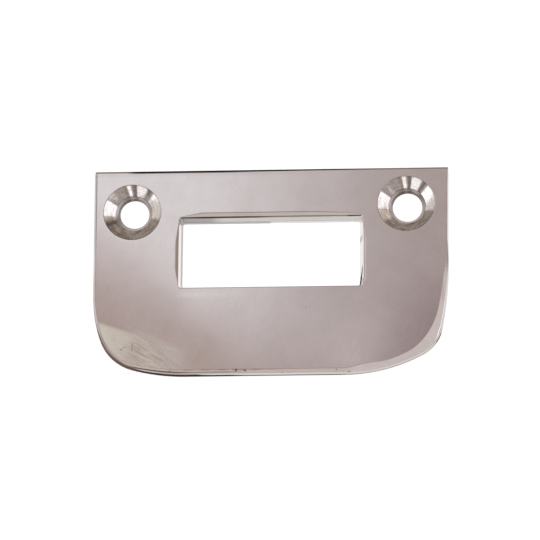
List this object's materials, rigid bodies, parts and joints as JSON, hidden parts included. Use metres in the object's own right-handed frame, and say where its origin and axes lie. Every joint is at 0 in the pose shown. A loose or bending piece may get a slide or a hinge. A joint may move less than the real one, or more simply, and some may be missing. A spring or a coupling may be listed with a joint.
{
  "type": "door strike plate",
  "caption": "Flat strike plate in polished plated metal: straight top, rounded lower corners, an oblong slot for the bolt and a countersunk screw hole at each side of it.",
  "frame": {"origin": "centre of the plate's outline, on its flat back, which is the face it lies on", "axes": "+X along the straight top edge, +Y from the rounded lower edge towards the straight top edge, +Z out of the polished face"},
  "size_m": [0.057, 0.034, 0.0018],
  "materials": {
    "polished_nickel": "warm nickel plate on brass, buffed by hand to a near mirror, with fine polishing lines and a few small pits"
  },
  "bodies": {
    "root": {"strike_plate": "polished_nickel"}
  },
  "joints": []
}
